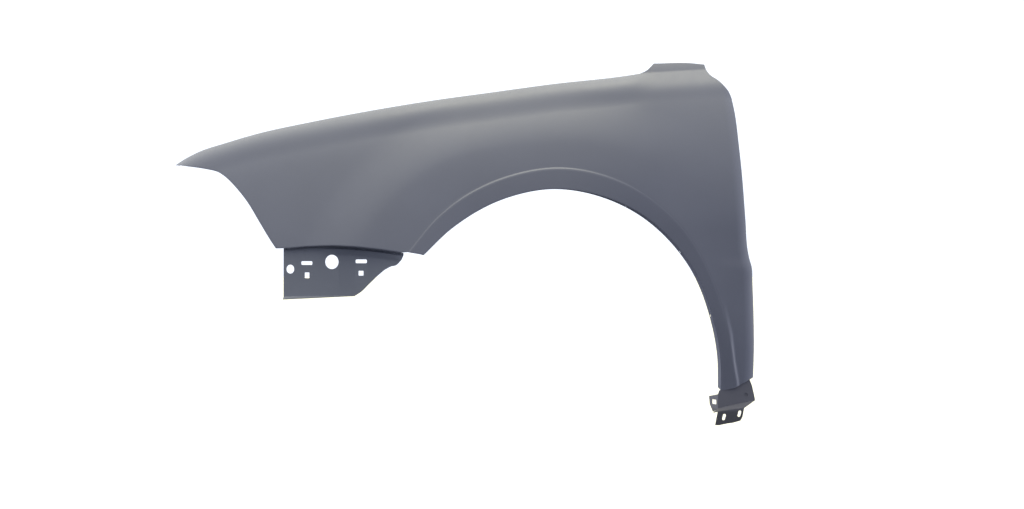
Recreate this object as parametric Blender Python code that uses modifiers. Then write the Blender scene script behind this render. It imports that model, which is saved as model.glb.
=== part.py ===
"""Left front fender of a passenger car: a pressed steel skin and its two welded brackets.

X points to the rear of the car, Z up and Y inboard, so the outer side faces -Y.
Shapes are laid out from the centre of the wheel arch. The finished part hangs from an
empty that moves its datum, the underside of the bolt pad above the arch, to the origin.
"""
import math

import bmesh
import bpy
import numpy as np
from mathutils import Matrix, Vector

# Sheet metal
SHEET = 0.0008
BRACKET_SHEET = 0.0015
WELD_GAP = 0.0003
CUT_OVERRUN = 0.010

# Reach of the panel from the wheel arch centre
NOSE_REACH = 0.8685
COWL_HEIGHT = 0.6082
ARCH_RADIUS = 0.3332
LIP_BAND = 0.0415
LEG_WIDTH = 0.0774
DOOR_REACH = ARCH_RADIUS + LEG_WIDTH

# Shape of the surface: plan sweep towards the nose
BODY_PLANE = 0.018
PLAN_START = -0.200
PLAN_RADIUS = 1.250

# Shape of the surface: lean of the side towards the hood, front half and rear half
LEAN_START = 0.190
LEAN_END = 0.480
LEAN_RADIUS = 1.700
LEAN_SLOPE_SHARE = 0.24
REAR_LEAN_START = 0.250
REAR_LEAN_RADIUS = 0.667
TUCK_START = 0.250
TUCK_RADIUS = 3.300
LEAN_BLEND = 0.200

# Shape of the surface: roll over at the hood line and the soft channel below it
ROLL_DEPTH = 0.042
ROLL_FALL = 0.024
TONGUE_ROLL_SHARE = 0.63
TONGUE_SLOPE_SHARE = 0.45
TONGUE_START = 0.150
TONGUE_END = 0.220
CHANNEL_DEPTH = 0.027
CHANNEL_TOP = -0.020
CHANNEL_END = 0.070
NOSE_CHANNEL_START = -0.200
NOSE_CHANNEL_END = -0.600
NOSE_CHANNEL_LOSS_SHARE = 0.30
TONGUE_CHANNEL_LOSS_SHARE = 0.38

# Shape of the surface: wheel arch flare, its lip band and the ledge above the band
FLARE_RADIUS = 0.455
FLARE_GROWTH = 0.035
FLARE_RUN = 0.090
FLARE_TAIL = 0.020
FLARE_HEIGHT = 0.0105
FLARE_FULL_ANGLE = math.radians(90)
FLARE_FADE_ANGLE = math.radians(50)
FLARE_WIDE_ANGLE = math.radians(135)
FLARE_HOLLOW_SHARE = 0.13
HOLLOW_FULL_ANGLE = math.radians(130)
HOLLOW_FADE_ANGLE = math.radians(60)
LEDGE_HEIGHT = 0.0025
LEDGE_RUN = 0.004
REAR_LEDGE_SHARE = 0.25
LEDGE_FULL_ANGLE = math.radians(75)
LEDGE_FADE_ANGLE = math.radians(45)
BAND_SLOPE_SHARE = -0.05

# Shape of the surface: rolled edge beside the door and the soft step in it
DOOR_ROLL_WIDTH = 0.014
DOOR_ROLL_DEPTH = 0.004
STEP_HEIGHT = 0.178
STEP_WIDTH = 0.012
STEP_DEPTH = 0.0015
STEP_REACH = 0.090

# Flanges
HOOD_WALL = 0.019
HOOD_WALL_TILT = 0.002
HOOD_LEDGE = 0.028
FRONT_FLANGE = 0.012
BUMPER_FLANGE = 0.014
LIP_FLANGE = 0.025
CROWN_FLANGE_TILT = -0.0015
REAR_FLANGE_TILT = 0.002
CLIP_HOLE_IN = 0.0167
DOOR_FLANGE = 0.015
DOOR_TAB = 0.024
FLANGE_CHAMFER = 0.006
BOLT_HOLE = 0.0045
CLIP_HOLE = 0.0035
PAD_HALF = 0.042
PAD_HOLE_SHIFT = 0.017
DOOR_TAB_HALF = 0.030
DOOR_TAB_HOLE_IN = 0.026

# Bumper bracket: its plate, its weld flange, its lower lip and its holes
BRACKET_DROP = 0.106
BRACKET_SETBACK = 0.0025
BRACKET_LIP = 0.011
BRACKET_ROUND_HOLE = 0.0157
BRACKET_OVAL_WIDTH = 0.0195
BRACKET_OVAL_HEIGHT = 0.0205
BRACKET_SLOT_LENGTH = 0.0275
BRACKET_SLOT_WIDTH = 0.0094
BRACKET_SQUARE = 0.0127
BRACKET_SQUARE_HEIGHT = 0.0138

# Sill bracket: place of its face, its ledge, lower tab and front tab
SILL_INSET = 0.0028
SILL_TOP = -0.048
SILL_MARGIN = 0.0014
SILL_START = ARCH_RADIUS + SILL_INSET
SILL_WIDTH = LEG_WIDTH - SILL_MARGIN
SILL_DROP = 0.076
SILL_LEDGE = 0.017
SILL_FRONT_FOLD = math.radians(60)
SILL_SLOT_LENGTH = 0.0158
SILL_SLOT_WIDTH = 0.0072
SILL_SLOT_TURN = math.radians(15)
SILL_SQUARE_WIDTH = 0.0140
SILL_SQUARE_HEIGHT = 0.0095
SILL_DIMPLE = 0.0040
SILL_DIMPLE_DEPTH = 0.0009

# Mesh steps
HOOD_STEPS = 30
TONGUE_STEPS = (3, 5, 7)
DOOR_STEPS = 19
EDGE_ROWS = (0.0, 0.006, 0.013, 0.022, 0.034, 0.050, 0.072)
FRONT_STEPS = 7
BUMPER_STEPS = 5
BAND_STEPS = 3
ROUND_STEPS = 24
BRACKET_STEPS = 12
LIP_STEPS = 5
TIP_ROWS = 3
TIP_COLUMNS = 1
FINE_STEPS = 600
SHARP_ANGLE = math.radians(40)

# Outline as shares of the nose reach or the door reach, and of the cowl height
HOOD_SHARES = (
    (-1.000, 0.661), (-0.979, 0.678), (-0.926, 0.710), (-0.857, 0.735),
    (-0.755, 0.769), (-0.620, 0.803), (-0.414, 0.851), (-0.211, 0.894),
    (-0.012, 0.929), (0.343, 0.952), (0.447, 0.962),
)
TONGUE_FRONT_SHARES = (
    (0.447, 0.962), (0.477, 0.971), (0.502, 0.986), (0.519, 0.999),
)
TONGUE_TOP_SHARES = (
    (0.519, 0.999), (0.718, 1.000), (0.792, 0.995),
)
TONGUE_REAR_SHARES = (
    (0.792, 0.995), (0.796, 0.971), (0.807, 0.955), (0.845, 0.933), (0.875, 0.910),
    (0.898, 0.888), (0.910, 0.866),
)
DOOR_SHARES = (
    (0.910, 0.866), (0.919, 0.822), (0.932, 0.694), (0.940, 0.610), (0.954, 0.446),
    (0.969, 0.324), (0.976, 0.303), (0.985, 0.282), (0.990, 0.222), (0.997, 0.099),
    (1.000, -0.003), (0.998, -0.099),
)
FRONT_SHARES = (
    (-1.000, 0.661), (-0.953, 0.650), (-0.895, 0.636), (-0.857, 0.622),
    (-0.837, 0.605), (-0.803, 0.563), (-0.772, 0.516), (-0.728, 0.429),
    (-0.695, 0.363), (-0.684, 0.343),
)
BUMPER_SHARES = (
    (-0.684, 0.343), (-0.660, 0.344), (-0.605, 0.350), (-0.536, 0.353),
    (-0.446, 0.344), (-0.402, 0.336), (-0.355, 0.324),
)
# Continuation of the hood line over the tongue, which the surface follows there
HOOD_TAIL_SHARE = (1.000, 0.999)

# Arch lip: angle from the rear, share of the arch radius
LIP_SHARES = (
    (144.7, 1.011), (131.2, 0.994), (109.9, 0.991), (91.7, 0.996), (59.6, 0.989),
    (31.7, 0.983), (9.8, 0.992), (-2.5, 1.020), (-14.3, 1.061),
)
# Lip band: angle from the rear, share of the band's width
BAND_SHARES = (
    (147.0, 0.760), (132.2, 0.927), (122.6, 1.023), (106.0, 1.076), (88.8, 1.119),
    (66.7, 1.022), (45.9, 0.852), (24.9, 0.639), (15.5, 0.624), (5.4, 0.640),
    (-6.6, 0.755), (-12.6, 0.640),
)

# Bolt pads on the hood ledge, as shares of the nose reach; the last is the datum
PAD_SHARES = (-0.70, -0.35, 0.0)
# Tabs on the door flange, as shares of the cowl height
DOOR_TAB_SHARES = (0.60, 0.10)
# Liner clip holes in the lip flange, as angles from the rear
CLIP_ANGLES = (12, 38, 64, 90, 116, 138)

# Ends of the bumper bracket, as shares of the nose reach
BRACKET_END_SHARES = (-0.6658, -0.3662)
# Bumper bracket below its weld flange: shares of its length and drop, front to rear
BRACKET_LOW_SHARES = (
    (0.000, -0.965), (0.605, -0.930), (0.657, -0.845), (0.725, -0.680),
    (0.785, -0.540), (0.843, -0.420), (0.896, -0.350), (0.942, -0.330),
    (0.986, -0.215), (1.000, -0.130),
)
# Where the bumper bracket's holes lie, as shares of its length and drop
BRACKET_OVAL_SHARE = (0.057, -0.408)
BRACKET_SLOT_SHARES = ((0.197, -0.286), (0.653, -0.250))
BRACKET_SQUARE_SHARES = ((0.199, -0.531), (0.651, -0.485))
BRACKET_ROUND_SHARE = (0.408, -0.262)

# Sill bracket: shares of its width and drop, clockwise from its upper front corner
SILL_FACE_SHARES = (
    (0.21, 0.00), (0.84, 0.00), (0.87, -0.21), (0.937, -0.38), (1.01, -0.71),
    (1.02, -0.776), (0.00, -1.00), (0.00, -0.62), (0.09, -0.553), (0.21, -0.50),
)
SILL_LEDGE_SHARES = ((0.68, -0.957), (-0.045, -1.062), (-0.16, -1.079))
SILL_TAB_SHARES = (
    (0.575, -1.31), (0.368, -1.368), (0.21, -1.39), (0.0, -1.434), (-0.113, -1.434),
)
SILL_FRONT_SHARES = ((-0.105, -1.118), (-0.171, -0.934), (-0.19, -0.705))
SILL_SLOT_SHARES = ((0.130, -1.212), (0.560, -1.120))
SILL_SQUARE_SHARE = (-0.08, -0.842)
SILL_DIMPLE_SHARE = (0.772, -0.635)


def fade(value, start, end):
    """0 up to start, 1 from end on, and no kink between them. Start may be above end."""
    t = np.clip((value - start) / (end - start), 0, 1)
    return t * t * (3 - 2 * t)


def smooth_line(points, distances=None, steps=None):
    """Points along a smooth line through the given ones, evenly or at given distances."""
    knots = np.array(points, dtype=float)
    reach = np.concatenate(([0], np.cumsum(np.linalg.norm(np.diff(knots, axis=0), axis=1))))
    slopes = np.gradient(knots, reach, axis=0)
    along = np.linspace(0, reach[-1], FINE_STEPS + 1)
    piece = np.clip(np.searchsorted(reach, along, side="right") - 1, 0, len(knots) - 2)
    span = (reach[piece + 1] - reach[piece])[:, None]
    t = (along - reach[piece])[:, None] / span
    fine = (
        (1 + 2 * t) * (1 - t) ** 2 * knots[piece]
        + t * (1 - t) ** 2 * span * slopes[piece]
        + t * t * (3 - 2 * t) * knots[piece + 1]
        + t * t * (t - 1) * span * slopes[piece + 1]
    )
    lengths = np.concatenate(([0], np.cumsum(np.linalg.norm(np.diff(fine, axis=0), axis=1))))
    if distances is None:
        distances = np.linspace(0, lengths[-1], steps + 1)
    return np.column_stack([np.interp(distances, lengths, fine[:, k]) for k in (0, 1)])


def line_length(points):
    """Length of the smooth line through the given points."""
    fine = smooth_line(points, steps=FINE_STEPS)
    return np.linalg.norm(np.diff(fine, axis=0), axis=1).sum()


def placed(shares):
    """Outline points in metres, from their shares."""
    return [
        (x * (NOSE_REACH if x < 0 else DOOR_REACH), z * COWL_HEIGHT) for x, z in shares
    ]


def polar(angle, radius):
    return (radius * math.cos(angle), radius * math.sin(angle))


HOOD_LINE = smooth_line(placed(HOOD_SHARES), steps=FINE_STEPS)
HOOD_BASE = np.vstack([HOOD_LINE, placed([HOOD_TAIL_SHARE])])
DOOR_LINE = smooth_line(placed(DOOR_SHARES), steps=FINE_STEPS)
LIP_LINE = smooth_line(
    [polar(math.radians(a), share * ARCH_RADIUS) for a, share in LIP_SHARES],
    steps=FINE_STEPS,
)


def radius_at(line, angle):
    """Distance of a polar line from the arch centre, at an angle from the rear."""
    angles = np.arctan2(line[:, 1], line[:, 0])
    return np.interp(angle, angles[::-1], np.linalg.norm(line, axis=1)[::-1])


CREASE_LINE = smooth_line(
    [
        polar(
            math.radians(a),
            radius_at(LIP_LINE, math.radians(a)) + share * LIP_BAND,
        )
        for a, share in BAND_SHARES
    ],
    steps=FINE_STEPS,
)


def hood_height(x):
    """Height of the hood line, which runs on over the tongue."""
    return np.interp(x, HOOD_BASE[:, 0], HOOD_BASE[:, 1])


def plan_depth(x):
    """How far the plan view's curve takes the nose inboard."""
    ahead = np.maximum(PLAN_START - x, 0)
    return PLAN_RADIUS - np.sqrt(PLAN_RADIUS**2 - ahead**2)


def lean_depth(x, z):
    """How far the side leans inboard, towards the hood and under the sill."""
    curved = np.clip(z, LEAN_START, LEAN_END) - LEAN_START
    straight = np.maximum(z - LEAN_END, 0)
    front = LEAN_SLOPE_SHARE * (z - LEAN_START) + curved**2 / (2 * LEAN_RADIUS)
    front = front + straight * (LEAN_END - LEAN_START) / LEAN_RADIUS
    rear = np.maximum(z - REAR_LEAN_START, 0) ** 2 / (2 * REAR_LEAN_RADIUS)
    rear = rear + np.maximum(TUCK_START - z, 0) ** 2 / (2 * TUCK_RADIUS)
    back = fade(x, -LEAN_BLEND, LEAN_BLEND)
    return (1 - back) * front + back * rear


def roll_depth(x, z):
    """The roll over towards the hood line, less the soft channel under it."""
    below = hood_height(x) - z
    over = fade(x, TONGUE_START, TONGUE_END)
    tongue = 1 - (1 - TONGUE_ROLL_SHARE) * over
    inside = np.exp(-np.maximum(below, 0) / ROLL_FALL)
    beyond = np.maximum(-below, 0) * TONGUE_SLOPE_SHARE
    ends = TONGUE_CHANNEL_LOSS_SHARE * over
    ends = ends + NOSE_CHANNEL_LOSS_SHARE * fade(x, NOSE_CHANNEL_START, NOSE_CHANNEL_END)
    channel = CHANNEL_DEPTH * (1 - ends) * (1 - fade(below, CHANNEL_TOP, CHANNEL_END))
    return tongue * ROLL_DEPTH * inside + beyond - channel


def flare_height(x, z):
    """How far the flare, its ledge and its lip band stand out around the arch."""
    radius = np.hypot(x, z)
    angle = np.arctan2(z, x)
    start = FLARE_RADIUS + FLARE_GROWTH * fade(angle, FLARE_FULL_ANGLE, FLARE_WIDE_ANGLE)
    rise = FLARE_HEIGHT * fade(radius, start + FLARE_RUN, start - FLARE_TAIL)
    rise = rise * fade(angle, FLARE_FADE_ANGLE, FLARE_FULL_ANGLE)
    inside = np.maximum(start - FLARE_TAIL - radius, 0)
    hollow = FLARE_HOLLOW_SHARE * inside**2 / (inside + FLARE_TAIL)
    rise = rise - hollow * fade(angle, HOLLOW_FADE_ANGLE, HOLLOW_FULL_ANGLE)
    band = np.maximum(radius_at(CREASE_LINE, angle) - radius, 0)
    crest = fade(angle, LEDGE_FADE_ANGLE, LEDGE_FULL_ANGLE)
    ledge = LEDGE_HEIGHT * (REAR_LEDGE_SHARE + (1 - REAR_LEDGE_SHARE) * crest)
    return rise + ledge * fade(band, 0, LEDGE_RUN) + BAND_SLOPE_SHARE * band


def door_depth(x, z):
    """The rolled edge beside the door, and the soft step that runs into it."""
    edge = np.interp(z, DOOR_LINE[::-1, 1], DOOR_LINE[::-1, 0])
    near = np.maximum(DOOR_ROLL_WIDTH - (edge - x), 0) / DOOR_ROLL_WIDTH
    step = fade(z, STEP_HEIGHT + STEP_WIDTH, STEP_HEIGHT - STEP_WIDTH)
    reach = fade(edge - x, STEP_REACH, 0)
    return DOOR_ROLL_DEPTH * near**2 - STEP_DEPTH * step * reach


def depth(x, z):
    """Distance of the outer surface inboard of the body plane's datum."""
    side = BODY_PLANE + plan_depth(x) + lean_depth(x, z)
    return side + roll_depth(x, z) + door_depth(x, z) - flare_height(x, z)


def surface_point(x, z):
    return Vector((float(x), float(depth(x, z)), float(z)))


def inward_at(x, z):
    """Unit vector into the car, square to the outer surface."""
    h = SHEET
    slope_x = float(depth(x + h, z) - depth(x - h, z)) / (2 * h)
    slope_z = float(depth(x, z + h) - depth(x, z - h)) / (2 * h)
    return Vector((-slope_x, 1, -slope_z)).normalized()


def patch(low, high, first, rows):
    """Plan points between two long sides and a first short side; the last one is straight.

    rows gives each row's share of the way from low to high, at every column.
    """
    left = (1 - np.linspace(0, 1, len(low))[:, None]) ** 2
    grid = []
    for share, point in zip(rows, first):
        v = share[:, None]
        ruled = (1 - v) * low + v * high
        grid.append(ruled + left * (point - ruled[0]))
    return grid


def outer_side():
    """The panel's outer boundary from the nose over the tongue and down the door edge."""
    runs = (
        (HOOD_SHARES, HOOD_STEPS),
        (TONGUE_FRONT_SHARES, TONGUE_STEPS[0]),
        (TONGUE_TOP_SHARES, TONGUE_STEPS[1]),
        (TONGUE_REAR_SHARES, TONGUE_STEPS[2]),
        (DOOR_SHARES, DOOR_STEPS),
    )
    points = [np.array(placed(HOOD_SHARES[:1]))]
    for shares, steps in runs:
        points.append(smooth_line(placed(shares), steps=steps)[1:])
    return np.vstack(points)


def arch_side(line, count):
    """Even points along the lip or the crease, from the bumper edge to the leg's end."""
    lengths = np.linspace(0, FINE_STEPS, count)
    return np.column_stack(
        [np.interp(lengths, np.arange(FINE_STEPS + 1), line[:, k]) for k in (0, 1)]
    )


def nose_side():
    """Points down the front edge and along the bumper edge, from the nose to the crease."""
    front = placed(FRONT_SHARES)
    rest = np.linspace(EDGE_ROWS[-1], line_length(front), FRONT_STEPS + 1)[1:]
    down = smooth_line(front, distances=np.concatenate((EDGE_ROWS, rest)))
    along = smooth_line(placed(BUMPER_SHARES), steps=BUMPER_STEPS)
    return np.vstack([down, along[1:]])[::-1]


def body_grid():
    """Rows of plan points from the crease out to the hood, tongue and door edges."""
    outer = outer_side()
    crease = arch_side(CREASE_LINE, len(outer))
    first = nose_side()
    first[0] = crease[0]
    count = len(first) - 1
    spans = np.linalg.norm(outer - crease, axis=1)
    rows = []
    for i in range(count + 1):
        k = count - i
        even = k / count
        if k < len(EDGE_ROWS):
            share = np.minimum(EDGE_ROWS[k] / spans, even)
        else:
            start = np.minimum(EDGE_ROWS[-1] / spans, (len(EDGE_ROWS) - 1) / count)
            share = start + (1 - start) * (k - len(EDGE_ROWS) + 1) / (
                count - len(EDGE_ROWS) + 1
            )
        rows.append(1 - share)
    return patch(crease, outer, first, rows)


def band_grid(columns):
    """Rows of plan points from the lip out to the crease, which they leave out."""
    lip = arch_side(LIP_LINE, columns)
    crease = arch_side(CREASE_LINE, columns)
    widths = np.linalg.norm(crease - lip, axis=1)[:, None]
    grid = [
        lip + (crease - lip) * (k / BAND_STEPS) * (1 - LEDGE_RUN / widths)
        for k in range(BAND_STEPS + 1)
    ]
    grid.append(lip + (crease - lip) * (1 - LEDGE_RUN / (2 * widths)))
    return grid


def add_strip(bm, run, offsets):
    """A flange off a run of edge vertices. Returns its free vertices."""
    free = [bm.verts.new(vert.co + offset) for vert, offset in zip(run, offsets)]
    for k in range(len(run) - 1):
        bm.faces.new((run[k], run[k + 1], free[k + 1], free[k]))
    return free


def chamfered(run, offsets, ends=(True, True)):
    """Offsets whose first and last are drawn in along the run, to relieve the corner."""
    moved = [offset.copy() for offset in offsets]
    if ends[0]:
        moved[0] += (run[1].co - run[0].co).normalized() * FLANGE_CHAMFER
    if ends[1]:
        moved[-1] += (run[-2].co - run[-1].co).normalized() * FLANGE_CHAMFER
    return moved


def pad_height(x):
    """Height of the hood ledge: level at each bolt pad, along the hood line elsewhere."""
    for share in PAD_SHARES:
        centre = share * NOSE_REACH
        if abs(x - centre) <= PAD_HALF:
            return float(hood_height(centre)) - HOOD_WALL
    return float(hood_height(x)) - HOOD_WALL


def add_hood_flange(bm, run):
    drops = [
        Vector((0, HOOD_WALL_TILT, pad_height(vert.co.x) - vert.co.z)) for vert in run
    ]
    low = add_strip(bm, run, chamfered(run, drops))
    add_strip(bm, low, [Vector((0, HOOD_LEDGE, 0)) for _ in low])


def add_lip_flange(bm, run):
    """The flange inside the arch, which leans away from its centre except on the rear leg."""
    offsets = []
    for vert in run:
        centre = Vector((-vert.co.x, 0, -vert.co.z)).normalized()
        crest = fade(math.atan2(vert.co.z, vert.co.x), LEDGE_FADE_ANGLE, LEDGE_FULL_ANGLE)
        tilt = REAR_FLANGE_TILT + (CROWN_FLANGE_TILT - REAR_FLANGE_TILT) * crest
        offsets.append(Vector((0, LIP_FLANGE, 0)) + centre * tilt)
    add_strip(bm, run, chamfered(run, offsets))


def add_door_flange(bm, run):
    offsets = []
    for vert in run:
        width = DOOR_FLANGE
        for share in DOOR_TAB_SHARES:
            if abs(vert.co.z - share * COWL_HEIGHT) <= DOOR_TAB_HALF:
                width = DOOR_FLANGE + DOOR_TAB
        offsets.append(Vector((0, width, 0)))
    add_strip(bm, run, chamfered(run, offsets))


def skin_mesh():
    """The pressed surface and its flanges, as an open mesh on the outer side."""
    body = body_grid()
    band = band_grid(len(body[0]))
    bm = bmesh.new()
    rows = [[bm.verts.new(surface_point(*p)) for p in row] for row in band + body]
    for low, high in zip(rows, rows[1:]):
        for k in range(len(low) - 1):
            bm.faces.new((low[k], low[k + 1], high[k + 1], high[k]))
    top = rows[-1]
    nose = [row[0] for row in rows]
    corner = len(band) + BUMPER_STEPS
    tongue_end = HOOD_STEPS + sum(TONGUE_STEPS)
    add_lip_flange(bm, rows[0])
    add_hood_flange(bm, top[TIP_COLUMNS : HOOD_STEPS + 1])
    add_door_flange(bm, top[tongue_end:])
    front = nose[corner:-TIP_ROWS]
    inward = []
    for vert in front:
        turned = inward_at(vert.co.x, vert.co.z) * Vector((1, 1, 0))
        inward.append(turned.normalized() * FRONT_FLANGE)
    add_strip(bm, front, chamfered(front, inward))
    bumper = nose[: corner + 1]
    across = [Vector((0, BUMPER_FLANGE, 0)) for _ in bumper]
    add_strip(bm, bumper, chamfered(bumper, across))
    return finished(bm, "fender_skin", inboard=False)


def ledge_point(x):
    """Middle of the hood ledge at a pad, on its upper side."""
    z = float(hood_height(x))
    y = float(depth(x, z)) + HOOD_WALL_TILT + HOOD_LEDGE / 2
    return Vector((x, y, pad_height(x)))


def primer(name, colour, roughness):
    material = bpy.data.materials.new(name)
    material.use_nodes = True
    shader = material.node_tree.nodes["Principled BSDF"]
    shader.inputs["Base Color"].default_value = (*colour, 1)
    shader.inputs["Roughness"].default_value = roughness
    shader.inputs["Metallic"].default_value = 0
    return material


def clear_scene():
    for obj in list(bpy.data.objects):
        bpy.data.objects.remove(obj)


def new_collection(name):
    made = bpy.data.collections.new(name)
    bpy.context.scene.collection.children.link(made)
    return made


def oval(length, width, turn=0):
    """Outline of a slot with round ends, or a circle if both sizes are the same."""
    points = []
    for k in range(ROUND_STEPS):
        angle = 2 * math.pi * (k + 1 / 2) / ROUND_STEPS
        shift = math.copysign((length - width) / 2, math.cos(angle))
        x = math.cos(angle) * width / 2 + shift
        y = math.sin(angle) * width / 2
        points.append(Matrix.Rotation(turn, 2) @ Vector((x, y)))
    return points


def rectangle(width, height):
    return [
        Vector((x * width / 2, y * height / 2))
        for x, y in ((-1, -1), (1, -1), (1, 1), (-1, 1))
    ]


def punch(target, cutters, name, outline, place, axis, across=None):
    """Cuts an outline through the target at a place, along an axis, with across as its x."""
    axis = axis.normalized()
    across = axis.orthogonal() if across is None else across
    across = (across - axis * across.dot(axis)).normalized()
    up = axis.cross(across)
    bm = bmesh.new()
    ring = [
        bm.verts.new(place + across * p.x + up * p.y - axis * CUT_OVERRUN)
        for p in outline
    ]
    face = bm.faces.new(ring)
    made = bmesh.ops.extrude_face_region(bm, geom=[face])["geom"]
    moved = [part for part in made if isinstance(part, bmesh.types.BMVert)]
    bmesh.ops.translate(bm, verts=moved, vec=axis * 2 * CUT_OVERRUN)
    bmesh.ops.recalc_face_normals(bm, faces=bm.faces)
    mesh = bpy.data.meshes.new(name)
    bm.to_mesh(mesh)
    bm.free()
    cutter = bpy.data.objects.new(name, mesh)
    cutter.hide_render = True
    cutter.display_type = "WIRE"
    cutter.parent = target
    cutters.objects.link(cutter)
    modifier = target.modifiers.new(name, "BOOLEAN")
    modifier.operation = "DIFFERENCE"
    modifier.solver = "EXACT"
    modifier.object = cutter


def pressed(name, mesh, sheet, parts, root, material):
    """An object whose open mesh is given its sheet thickness behind the mesh."""
    obj = bpy.data.objects.new(name, mesh)
    obj.data.materials.append(material)
    obj.parent = root
    parts.objects.link(obj)
    wall = obj.modifiers.new("sheet", "SOLIDIFY")
    wall.solidify_mode = "NON_MANIFOLD"
    wall.nonmanifold_thickness_mode = "CONSTRAINTS"
    wall.thickness = sheet
    wall.offset = -1
    return obj


def build_skin(parts, cutters, root):
    material = primer("skin_primer", (0.19, 0.20, 0.24), 0.55)
    skin = pressed("fender_skin", skin_mesh(), SHEET, parts, root, material)
    skin.data.shade_smooth()
    skin.data.set_sharp_from_angle(angle=SHARP_ANGLE)
    bolt = oval(2 * BOLT_HOLE, 2 * BOLT_HOLE)
    clip = oval(2 * CLIP_HOLE, 2 * CLIP_HOLE)
    for k, share in enumerate(PAD_SHARES):
        place = ledge_point(share * NOSE_REACH) + Vector((PAD_HOLE_SHIFT, 0, 0))
        punch(skin, cutters, f"pad_hole_{k}", bolt, place, Vector((0, 0, 1)))
    for k, share in enumerate(DOOR_TAB_SHARES):
        z = share * COWL_HEIGHT
        x = float(np.interp(z, DOOR_LINE[::-1, 1], DOOR_LINE[::-1, 0]))
        place = surface_point(x, z) + Vector((0, DOOR_TAB_HOLE_IN, 0))
        punch(skin, cutters, f"tab_hole_{k}", bolt, place, Vector((1, 0, 0)))
    for k, degrees in enumerate(CLIP_ANGLES):
        angle = math.radians(degrees)
        x, z = polar(angle, float(radius_at(LIP_LINE, angle)))
        place = surface_point(x, z) + Vector((0, CLIP_HOLE_IN, 0))
        punch(skin, cutters, f"clip_hole_{k}", clip, place, Vector((x, 0, z)))


def bumper_height(x):
    """Height of the panel's bumper edge."""
    line = smooth_line(placed(BUMPER_SHARES), steps=FINE_STEPS)
    return float(np.interp(x, line[:, 0], line[:, 1]))


def bracket_point(along, drop):
    """A point of the bumper bracket's flat plate, from shares of its length and drop."""
    front, rear = [share * NOSE_REACH for share in BRACKET_END_SHARES]
    z = bumper_height(front) - SHEET - WELD_GAP
    ends = []
    for x in (front, rear):
        y = float(depth(x, bumper_height(x))) + BUMPER_FLANGE - BRACKET_SHEET
        ends.append(Vector((x, y, z)))
    return ends[0].lerp(ends[1], along) + Vector((0, 0, drop * BRACKET_DROP))


def bracket_mesh():
    """Flat plate, weld flange along its top and a lip below, folded from one sheet."""
    bm = bmesh.new()
    top = []
    for k in range(BRACKET_STEPS + 1):
        point = bracket_point(k / BRACKET_STEPS, 0)
        point.z = bumper_height(point.x) - SHEET - WELD_GAP
        top.append(bm.verts.new(point))
    weld = []
    for vert in top:
        y = float(depth(vert.co.x, bumper_height(vert.co.x))) + BRACKET_SETBACK
        weld.append(Vector((0, y - vert.co.y, 0)))
    corners = [bracket_point(*share) for share in BRACKET_LOW_SHARES]
    foot = [
        bm.verts.new(corners[0].lerp(corners[1], k / LIP_STEPS))
        for k in range(LIP_STEPS + 1)
    ]
    rest = [bm.verts.new(corner) for corner in corners[2:]]
    bm.faces.new(top[::-1] + foot + rest)
    add_strip(bm, top, chamfered(top, weld))
    lip = []
    for k in range(LIP_STEPS + 1):
        width = BRACKET_LIP * (1 - k / (LIP_STEPS + 1))
        lip.append(Vector((0, -width, -width)) / math.sqrt(2))
    add_strip(bm, foot, lip)
    return finished(bm, "bumper_bracket", inboard=True)


def finished(bm, name, inboard):
    """The mesh with all faces wound one way, its larger part facing inboard or outboard."""
    bmesh.ops.recalc_face_normals(bm, faces=bm.faces)
    bm.normal_update()
    total = sum(face.normal.y * face.calc_area() for face in bm.faces)
    if (total > 0) != inboard:
        bmesh.ops.reverse_faces(bm, faces=bm.faces)
    mesh = bpy.data.meshes.new(name)
    bm.to_mesh(mesh)
    bm.free()
    return mesh


def build_bumper_bracket(parts, cutters, root):
    material = primer("bumper_bracket_primer", (0.13, 0.14, 0.17), 0.6)
    mesh = bracket_mesh()
    bracket = pressed("bumper_bracket", mesh, BRACKET_SHEET, parts, root, material)
    across = bracket_point(1, 0) - bracket_point(0, 0)
    axis = across.cross(Vector((0, 0, 1)))
    square = rectangle(BRACKET_SQUARE, BRACKET_SQUARE_HEIGHT)
    slot = oval(BRACKET_SLOT_LENGTH, BRACKET_SLOT_WIDTH)
    round_hole = oval(2 * BRACKET_ROUND_HOLE, 2 * BRACKET_ROUND_HOLE)
    upright = oval(BRACKET_OVAL_HEIGHT, BRACKET_OVAL_WIDTH, math.pi / 2)
    holes = [(BRACKET_OVAL_SHARE, upright), (BRACKET_ROUND_SHARE, round_hole)]
    holes += [(share, slot) for share in BRACKET_SLOT_SHARES]
    holes += [(share, square) for share in BRACKET_SQUARE_SHARES]
    for k, (share, outline) in enumerate(holes):
        place = bracket_point(*share)
        punch(bracket, cutters, f"bracket_hole_{k}", outline, place, axis, across)


def sill_depth():
    """Depth of the sill bracket's face, close behind the foot of the rear leg."""
    upper = [
        float(depth(SILL_START + across * SILL_WIDTH, SILL_TOP + drop * SILL_DROP))
        for across, drop in SILL_FACE_SHARES[:3] + SILL_FACE_SHARES[-1:]
    ]
    return max(upper) + SHEET + WELD_GAP


def sill_point(across, drop, out=0):
    """A point of the sill bracket from shares of its width and drop, and a reach outboard."""
    return Vector(
        (
            SILL_START + across * SILL_WIDTH,
            sill_depth() - out,
            SILL_TOP + drop * SILL_DROP,
        )
    )


def front_tab_point(across, drop):
    """A point of the front tab, which folds inboard along the face's front edge."""
    return sill_point(across, drop, out=across * SILL_WIDTH * math.tan(SILL_FRONT_FOLD))


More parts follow.
